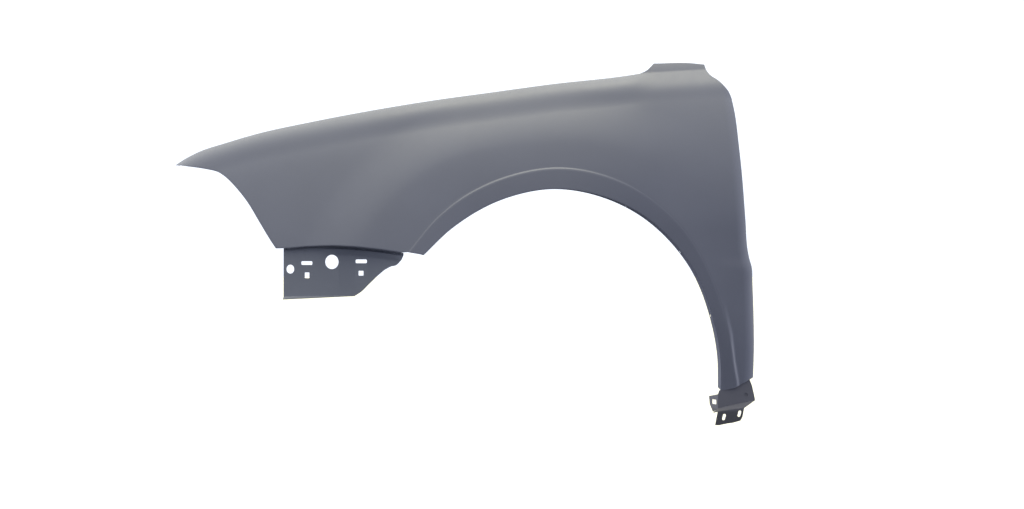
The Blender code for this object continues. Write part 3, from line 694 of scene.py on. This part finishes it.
def add_door_flange(bm, run):
    """The flange along the door edge, with its two bolt tabs."""
    offsets = []
    for vert in run:
        width = DOOR_FLANGE
        for share in DOOR_TAB_SHARES:
            if abs(vert.co.z - share * COWL_HEIGHT) <= DOOR_TAB_HALF:
                width = DOOR_FLANGE + DOOR_TAB
        offsets.append(Vector((0, width, 0)))
    add_strip(bm, run, chamfered(run, offsets))


def skin_mesh():
    """The pressed surface and its flanges, as an open mesh on the outer side."""
    body = body_grid()
    band = band_grid(len(body[0]))
    bm = bmesh.new()
    bm.edges.layers.float.new("bevel_weight_edge")
    rows = [[bm.verts.new(surface_point(*p)) for p in row] for row in band + body]
    for low, high in zip(rows, rows[1:]):
        for k in range(len(low) - 1):
            bm.faces.new((low[k], low[k + 1], high[k + 1], high[k]))
    top = rows[-1]
    nose = [row[0] for row in rows]
    corner = len(band) + BUMPER_STEPS
    tongue_end = HOOD_STEPS + sum(TONGUE_STEPS)
    add_lip_flange(bm, rows[0])
    add_hood_flange(bm, top[TIP_COLUMNS : HOOD_STEPS + 1])
    add_door_flange(bm, top[tongue_end:])
    add_front_flange(bm, nose[corner:-TIP_ROWS])
    add_bumper_flange(bm, nose[: corner + 1])
    return finished(bm, "skin", inboard=False)


def ledge_point(x):
    """Middle of the hood ledge at a pad, on its upper side."""
    z = float(hood_height(x))
    y = float(depth(x, z)) + HOOD_WALL_TILT + HOOD_LEDGE / 2
    return Vector((x, y, pad_height(x)))


# Shift from the arch centre to the part's origin, under the hood ledge at its last pad
DATUM = -(ledge_point(PAD_SHARES[-1] * NOSE_REACH) - Vector((0, 0, SHEET)))


def finished(bm, name, inboard):
    """The mesh with all faces wound one way, its larger part facing inboard or outboard."""
    bmesh.ops.recalc_face_normals(bm, faces=bm.faces)
    bm.normal_update()
    total = sum(face.normal.y * face.calc_area() for face in bm.faces)
    if (total > 0) != inboard:
        bmesh.ops.reverse_faces(bm, faces=bm.faces)
    mesh = bpy.data.meshes.new(name)
    bm.to_mesh(mesh)
    bm.free()
    return mesh


def oval(length, width, turn=0):
    """Outline of a slot with round ends, or a circle if both sizes are the same."""
    points = []
    for k in range(ROUND_STEPS):
        angle = 2 * math.pi * (k + 1 / 2) / ROUND_STEPS
        shift = math.copysign((length - width) / 2, math.cos(angle))
        x = math.cos(angle) * width / 2 + shift
        y = math.sin(angle) * width / 2
        points.append(Matrix.Rotation(turn, 2) @ Vector((x, y)))
    return points


def bumper_height(x):
    """Height of the panel's bumper edge."""
    line = smooth_line(placed(BUMPER_SHARES), steps=FINE_STEPS)
    return float(np.interp(x, line[:, 0], line[:, 1]))


def bracket_point(along, drop):
    """A point of the bumper bracket's flat plate, from shares of its length and drop."""
    front, rear = [share * NOSE_REACH for share in BRACKET_END_SHARES]
    z = bumper_height(front) - SHEET - WELD_GAP
    ends = []
    for x in (front, rear):
        y = float(depth(x, bumper_height(x))) + BUMPER_FLANGE - BRACKET_SHEET
        ends.append(Vector((x, y, z)))
    return ends[0].lerp(ends[1], along) + Vector((0, 0, drop * BRACKET_DROP))


def sill_point(across, drop, out=0):
    """A point of the sill bracket from shares of its width and drop, and a reach outboard."""
    return Vector(
        (
            SILL_START + across * SILL_WIDTH,
            SILL_FACE_DEPTH - out,
            SILL_TOP + drop * SILL_DROP,
        )
    )


def front_tab_point(across, drop):
    """A point of the front tab, which folds inboard along the face's front edge."""
    return sill_point(across, drop, out=across * SILL_WIDTH * math.tan(SILL_FRONT_FOLD))


def link(name, data):
    """A new object in the scene, for a mesh, a camera or a light."""
    obj = bpy.data.objects.new(name, data)
    bpy.context.scene.collection.objects.link(obj)
    return obj


def round_folds(obj):
    """Rounds the weighted edges of a piece."""
    bend = obj.modifiers.new("fold", "BEVEL")
    bend.limit_method = "WEIGHT"
    bend.width = FOLD
    bend.segments = FOLD_STEPS
    bend.use_clamp_overlap = True


def thicken(obj, sheet, pressed):
    """Adds the sheet's thickness behind the mesh, which is smooth if the piece is pressed."""
    wall = obj.modifiers.new("sheet", "SOLIDIFY")
    wall.thickness = sheet
    wall.offset = -1
    if pressed:
        wall.use_even_offset = True
        wall.thickness_clamp = 1
    else:
        wall.solidify_mode = "NON_MANIFOLD"
        wall.nonmanifold_thickness_mode = "CONSTRAINTS"


def sheet_piece(mesh, sheet, node, material, pressed=False):
    """A piece of folded or pressed sheet, which stands for one node of the part."""
    mesh.transform(Matrix.Translation(DATUM))
    mesh.materials.append(material)
    mesh.shade_smooth()
    mesh.set_sharp_from_angle(angle=SHARP_ANGLE)
    obj = link(mesh.name, mesh)
    round_folds(obj)
    thicken(obj, sheet, pressed)
    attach(obj, "root")
    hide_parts(node)
    return obj


def hole_cutter(name, holes):
    """One hidden mesh with a prism for each hole: its outline, place, axis and across."""
    bm = bmesh.new()
    for outline, place, axis, across in holes:
        axis = axis.normalized()
        across = axis.orthogonal() if across is None else across
        across = (across - axis * across.dot(axis)).normalized()
        up = axis.cross(across)
        start = place - axis * CUT_OVERRUN
        ring = [bm.verts.new(start + across * p.x + up * p.y) for p in outline]
        made = bmesh.ops.extrude_face_region(bm, geom=[bm.faces.new(ring)])["geom"]
        moved = [part for part in made if isinstance(part, bmesh.types.BMVert)]
        bmesh.ops.translate(bm, verts=moved, vec=axis * 2 * CUT_OVERRUN)
    bmesh.ops.recalc_face_normals(bm, faces=bm.faces)
    bmesh.ops.translate(bm, verts=bm.verts, vec=DATUM)
    mesh = bpy.data.meshes.new(name)
    bm.to_mesh(mesh)
    bm.free()
    return mesh


def cut(obj, holes):
    """Cuts the holes through a piece and applies all its modifiers."""
    mesh = hole_cutter(obj.name + "_holes", holes)
    cutter = link(obj.name + "_holes", mesh)
    modifier = obj.modifiers.new("holes", "BOOLEAN")
    modifier.operation = "DIFFERENCE"
    modifier.solver = "EXACT"
    modifier.object = cutter
    bpy.context.view_layer.update()
    graph = bpy.context.evaluated_depsgraph_get()
    done = bpy.data.meshes.new_from_object(obj.evaluated_get(graph), depsgraph=graph)
    obj.modifiers.clear()
    done.set_sharp_from_angle(angle=SHARP_ANGLE)
    obj.data = done
    bpy.data.objects.remove(cutter)


def pad_hole(share):
    """Bolt hole in a pad of the hood ledge."""
    place = ledge_point(share * NOSE_REACH) + Vector((PAD_HOLE_SHIFT, 0, 0))
    return oval(2 * BOLT_HOLE, 2 * BOLT_HOLE), place, Vector((0, 0, 1)), None


def door_tab_hole(share):
    """Bolt hole in a tab of the door flange."""
    z = share * COWL_HEIGHT
    x = float(np.interp(z, DOOR_LINE[::-1, 1], DOOR_LINE[::-1, 0]))
    place = surface_point(x, z) + Vector((0, DOOR_TAB_HOLE_IN, 0))
    return oval(2 * BOLT_HOLE, 2 * BOLT_HOLE), place, Vector((1, 0, 0)), None


def clip_hole(degrees):
    """Liner clip hole in the flange inside the arch."""
    angle = math.radians(degrees)
    x, z = polar(angle, float(radius_at(LIP_LINE, angle)))
    place = surface_point(x, z) + Vector((0, CLIP_HOLE_IN, 0))
    return oval(2 * CLIP_HOLE, 2 * CLIP_HOLE), place, Vector((x, 0, z)), None


def skin_holes():
    """All holes of the skin."""
    holes = [pad_hole(share) for share in PAD_SHARES]
    holes += [door_tab_hole(share) for share in DOOR_TAB_SHARES]
    holes += [clip_hole(degrees) for degrees in CLIP_ANGLES]
    return holes


def rounded(width, height, corner):
    """Outline of a rectangle with rounded corners."""
    points = []
    for k in range(4 * CORNER_STEPS):
        quarter, step = divmod(k, CORNER_STEPS)
        angle = math.pi / 2 * (quarter + step / (CORNER_STEPS - 1))
        side = (1, -1, -1, 1)[quarter]
        end = (1, 1, -1, -1)[quarter]
        x = side * (width / 2 - corner) + corner * math.cos(angle)
        y = end * (height / 2 - corner) + corner * math.sin(angle)
        points.append(Vector((x, y)))
    return points


def bead(along, down):
    """How far the plate's bead stands out, at a share of its length and a distance down."""
    ends = fade(along, *BEAD_START_SHARES) * fade(along, *BEAD_END_SHARES)
    return BEAD_HEIGHT * float(ends * fade(down, *BEAD_TOP) * fade(down, *BEAD_FOOT))


def plate_column(bm, along):
    """Vertices down the bumper bracket's plate, at a share of its length."""
    low = np.array(BRACKET_LOW_SHARES)
    foot = bracket_point(along, float(np.interp(along, low[:, 0], low[:, 1])))
    height = bumper_height(foot.x) - foot.z
    column = []
    for below, share in BRACKET_ROWS:
        down = min(below, share * height)
        offset = Vector((0, -bead(along, down), height - down))
        column.append(bm.verts.new(foot + offset))
    return column


def add_weld_flange(bm, run):
    """The bumper bracket's upper flange, which runs forward to the panel's edge."""
    offsets = []
    for vert in run:
        y = float(depth(vert.co.x, bumper_height(vert.co.x))) + BRACKET_SETBACK
        offsets.append(Vector((0, y - vert.co.y, 0)))
    add_strip(bm, run, chamfered(run, offsets))


def add_bracket_lip(bm, run):
    """The bumper bracket's lower lip, which gets narrower to the rear."""
    offsets = []
    for k in range(len(run)):
        share = 1 - BRACKET_LIP_TAPER_SHARE * k / (len(run) - 1)
        offsets.append(Vector((0, -BRACKET_LIP_OUT * share, -BRACKET_LIP_DOWN * share)))
    add_strip(bm, run, offsets)


def bumper_bracket_mesh():
    """Plate with its bead, weld flange and lower lip."""
    bm = bmesh.new()
    bm.edges.layers.float.new("bevel_weight_edge")
    columns = [plate_column(bm, k / BRACKET_STEPS) for k in range(BRACKET_STEPS + 1)]
    rows = list(zip(*columns))
    for upper, lower in zip(rows, rows[1:]):
        for k in range(BRACKET_STEPS):
            bm.faces.new((upper[k], upper[k + 1], lower[k + 1], lower[k]))
    add_weld_flange(bm, rows[0])
    lip_steps = int(BRACKET_LOW_SHARES[1][0] * BRACKET_STEPS)
    add_bracket_lip(bm, rows[-1][: lip_steps + 1])
    return finished(bm, "bumper_bracket_look", inboard=True)


def bumper_bracket_holes():
    """A round hole, an upright oval, two slots and two squares."""
    across = bracket_point(1, 0) - bracket_point(0, 0)
    axis = across.cross(Vector((0, 0, 1)))
    slot = rounded(*BRACKET_SLOT_SIZE, BRACKET_SLOT_CORNER)
    upright = oval(*BRACKET_OVAL_SIZE, turn=math.pi / 2)
    holes = [(BRACKET_OVAL_SHARE, upright), (BRACKET_ROUND_SHARE, oval(*BRACKET_ROUND_SIZE))]
    holes += [(share, slot) for share in BRACKET_SLOT_SHARES]
    for share, size in zip(BRACKET_SQUARE_SHARES, BRACKET_SQUARE_SIZES):
        holes.append((share, rounded(*size, SQUARE_CORNER)))
    return [(outline, bracket_point(*share), axis, across) for share, outline in holes]


def add_face(bm, verts, fold):
    """A flat face whose first edge is a fold when fold is true."""
    weight = bm.edges.layers.float.get("bevel_weight_edge")
    bm.faces.new(verts)
    if fold:
        bm.edges.get((verts[0], verts[1]))[weight] = 1


def sill_bracket_mesh():
    """Face, ledge, lower tab and front tab with rounded folds."""
    bm = bmesh.new()
    bm.edges.layers.float.new("bevel_weight_edge")
    face = [bm.verts.new(sill_point(*share)) for share in SILL_FACE_SHARES]
    add_face(bm, face, fold=False)
    ledge = [bm.verts.new(sill_point(*s, out=SILL_LEDGE)) for s in SILL_LEDGE_SHARES]
    add_face(bm, [face[5], face[6]] + ledge[::-1], fold=True)
    tab = [bm.verts.new(sill_point(*s, out=SILL_LEDGE)) for s in SILL_TAB_SHARES]
    add_face(bm, [ledge[1], ledge[0]] + tab, fold=True)
    front = [bm.verts.new(front_tab_point(*s)) for s in SILL_FRONT_SHARES]
    add_face(bm, [face[7], face[6]] + front, fold=True)
    return finished(bm, "sill_bracket_look", inboard=False)


def sill_bracket_holes():
    """Two slanted slots, a shallow dimple and a square hole."""
    across = Vector((1, 0, 0))
    out = Vector((0, -1, 0))
    slot = oval(*SILL_SLOT_SIZE, turn=math.pi / 2 - SILL_SLOT_TURN)
    holes = []
    for share in SILL_SLOT_SHARES:
        holes.append((slot, sill_point(*share, out=SILL_LEDGE), out, across))
    dimple = oval(2 * SILL_DIMPLE, 2 * SILL_DIMPLE)
    place = sill_point(*SILL_DIMPLE_SHARE, out=CUT_OVERRUN - SILL_DIMPLE_DEPTH)
    holes.append((dimple, place, out, across))
    square = rounded(*SILL_SQUARE_SIZE, SQUARE_CORNER)
    fold = Vector((math.cos(SILL_FRONT_FOLD), -math.sin(SILL_FRONT_FOLD), 0))
    place = front_tab_point(*SILL_SQUARE_SHARE)
    holes.append((square, place, fold.cross(Vector((0, 0, 1))), fold))
    return holes


def noise(tree, place, scale, detail):
    """A noise over the given coordinates. Returns its factor."""
    node = tree.nodes.new("ShaderNodeTexNoise")
    node.inputs["Scale"].default_value = scale
    node.inputs["Detail"].default_value = detail
    tree.links.new(place, node.inputs["Vector"])
    return node.outputs["Fac"]


def ranged(tree, value, low, high, least):
    """Runs from least at a low value to 1 at a high one."""
    node = tree.nodes.new("ShaderNodeMapRange")
    node.inputs["From Min"].default_value = low
    node.inputs["From Max"].default_value = high
    node.inputs["To Min"].default_value = least
    tree.links.new(value, node.inputs["Value"])
    return node.outputs["Result"]


def multiplied(tree, colour, share):
    """A colour times a share."""
    node = tree.nodes.new("ShaderNodeMix")
    node.data_type = "RGBA"
    node.blend_type = "MULTIPLY"
    node.inputs["Factor"].default_value = 1
    tree.links.new(colour, node.inputs["A"])
    tree.links.new(share, node.inputs["B"])
    return node.outputs["Result"]


def mottled(tree, place, colour):
    """A colour that varies softly between two tones."""
    node = tree.nodes.new("ShaderNodeMix")
    node.data_type = "RGBA"
    dark, light = [[tone * share for tone in colour] for share in MOTTLE_SHARES]
    node.inputs["A"].default_value = (*dark, 1)
    node.inputs["B"].default_value = (*light, 1)
    tree.links.new(noise(tree, place, *MOTTLE_NOISE), node.inputs["Factor"])
    return node.outputs["Result"]


def uneven_sheen(tree, place, roughness):
    """A roughness that varies a little."""
    node = tree.nodes.new("ShaderNodeMapRange")
    node.inputs["To Min"].default_value = roughness - SHEEN_SPREAD
    node.inputs["To Max"].default_value = roughness + SHEEN_SPREAD
    tree.links.new(noise(tree, place, *SHEEN_NOISE), node.inputs["Value"])
    return node.outputs["Result"]


def fine_grain(tree, place):
    """The grain of sprayed primer, as a bump."""
    node = tree.nodes.new("ShaderNodeBump")
    node.inputs["Strength"].default_value = GRAIN_STRENGTH
    node.inputs["Distance"].default_value = GRAIN_HEIGHT
    tree.links.new(noise(tree, place, *GRAIN_NOISE), node.inputs["Height"])
    return node.outputs["Normal"]


def painted_shade_at_foot(tree, place, colour):
    """A colour with painted shade, darker at the foot of the sill bracket."""
    # Painted shade: the colour is multiplied down towards the bracket's lower tab
    split = tree.nodes.new("ShaderNodeSeparateXYZ")
    tree.links.new(place, split.inputs["Vector"])
    share = ranged(tree, split.outputs["Z"], *SILL_PAINTED_SHADE_HEIGHTS, SILL_PAINTED_SHADE_SHARE)
    return multiplied(tree, colour, share)


def primer(name, colour, roughness, painted_foot_shade=False):
    """Matte primer: soft mottling, a fine grain and slightly uneven sheen, with painted shade
    at the foot when asked.
    """
    material = bpy.data.materials.new(name)
    material.use_nodes = True
    tree = material.node_tree
    shader = tree.nodes["Principled BSDF"]
    shader.inputs["Metallic"].default_value = 0
    shader.inputs["Specular IOR Level"].default_value = PRIMER_SPECULAR
    place = tree.nodes.new("ShaderNodeTexCoord").outputs["Object"]
    tone = mottled(tree, place, colour)
    # Painted shade: the colour darkens towards the sill bracket's foot
    if painted_foot_shade:
        tone = painted_shade_at_foot(tree, place, tone)
    tree.links.new(tone, shader.inputs["Base Color"])
    tree.links.new(uneven_sheen(tree, place, roughness), shader.inputs["Roughness"])
    tree.links.new(fine_grain(tree, place), shader.inputs["Normal"])
    return material


def build_skin():
    """The pressed panel."""
    paint = primer("skin_primer_look", SKIN_COLOUR, SKIN_ROUGHNESS)
    skin = sheet_piece(
        skin_mesh(), SHEET, "fender_skin", paint, pressed=True
    )
    cut(skin, skin_holes())


def build_bumper_bracket():
    """The plate under the bumper edge."""
    paint = primer("bumper_bracket_look", BUMPER_BRACKET_COLOUR, BUMPER_BRACKET_ROUGHNESS)
    bracket = sheet_piece(
        bumper_bracket_mesh(), BRACKET_SHEET, "bumper_bracket", paint
    )
    cut(bracket, bumper_bracket_holes())


def build_sill_bracket():
    """The plate at the foot of the rear leg."""
    # The sill bracket's primer carries painted shade at its foot
    paint = primer(
        "sill_bracket_look", SILL_BRACKET_COLOUR, SILL_BRACKET_ROUGHNESS, painted_foot_shade=True
    )
    bracket = sheet_piece(
        sill_bracket_mesh(), BRACKET_SHEET, "sill_bracket", paint
    )
    cut(bracket, sill_bracket_holes())


def build_camera():
    """A level camera outboard of the panel, which looks along +Y."""
    data = bpy.data.cameras.new("camera")
    data.sensor_width = SENSOR_WIDTH
    data.lens = SENSOR_WIDTH * FOCAL_PIXELS / IMAGE_WIDTH
    camera = link("camera", data)
    camera.location = DATUM + Vector(EYE)
    camera.rotation_euler = (math.radians(90), 0, 0)
    bpy.context.scene.camera = camera


def build_stage():
    """A wide pale floor well under the part, which casts no tint on it."""
    z = cad_box[0][2] - FLOOR_DROP
    corners = [
        (x * FLOOR_HALF, y * FLOOR_HALF, z) for x, y in ((-1, -1), (1, -1), (1, 1), (-1, 1))
    ]
    mesh = bpy.data.meshes.new("floor")
    mesh.from_pydata(corners, [], [range(len(corners))])
    floor = link("floor", mesh)
    material = bpy.data.materials.new("floor")
    material.use_nodes = True
    shader = material.node_tree.nodes["Principled BSDF"]
    shader.inputs["Base Color"].default_value = (*FLOOR_COLOUR, 1)
    shader.inputs["Roughness"].default_value = 1
    mesh.materials.append(material)
    floor.visible_diffuse = False
    floor.visible_glossy = False


def sky_colour(tree, height):
    """The tent's colour, from a height of -1 straight below to 1 straight above."""
    level = ranged(tree, height, -1, 1, 0)
    ramp = tree.nodes.new("ShaderNodeValToRGB")
    stops = ramp.color_ramp.elements
    while len(stops) < len(SKY):
        stops.new(1)
    for stop, (at, colour) in zip(stops, SKY):
        stop.position = at
        stop.color = (*colour, 1)
    tree.links.new(level, ramp.inputs["Fac"])
    return ramp.outputs["Color"]


def build_tent():
    """A soft white tent: bright overhead, even at the horizon and dim below."""
    world = bpy.data.worlds.new("tent")
    bpy.context.scene.world = world
    world.use_nodes = True
    tree = world.node_tree
    place = tree.nodes.new("ShaderNodeTexCoord")
    split = tree.nodes.new("ShaderNodeSeparateXYZ")
    tree.links.new(place.outputs["Generated"], split.inputs["Vector"])
    side = ranged(tree, split.outputs["Y"], *SKY_TURN, SKY_OUTER_SHARE)
    colour = multiplied(tree, sky_colour(tree, split.outputs["Z"]), side)
    background = tree.nodes["Background"]
    tree.links.new(colour, background.inputs["Color"])
    background.inputs["Strength"].default_value = SKY_STRENGTH


def build_lamps():
    """Soft panel lamps above and to both sides, out of the camera's view."""
    for name, at, size, power, colour in LAMPS:
        data = bpy.data.lights.new(name, "AREA")
        data.shape = "RECTANGLE"
        data.size, data.size_y = size
        data.energy = power
        data.color = colour
        lamp = link(name, data)
        lamp.location = Vector(at)
        aim = Vector(LAMP_AIM) - lamp.location
        lamp.rotation_euler = aim.to_track_quat("-Z", "Y").to_euler()
        lamp.visible_camera = False


def main():
    bpy.context.scene.view_settings.view_transform = "Standard"
    build_camera()
    build_stage()
    build_tent()
    build_lamps()
    build_skin()
    build_bumper_bracket()
    build_sill_bracket()


main()
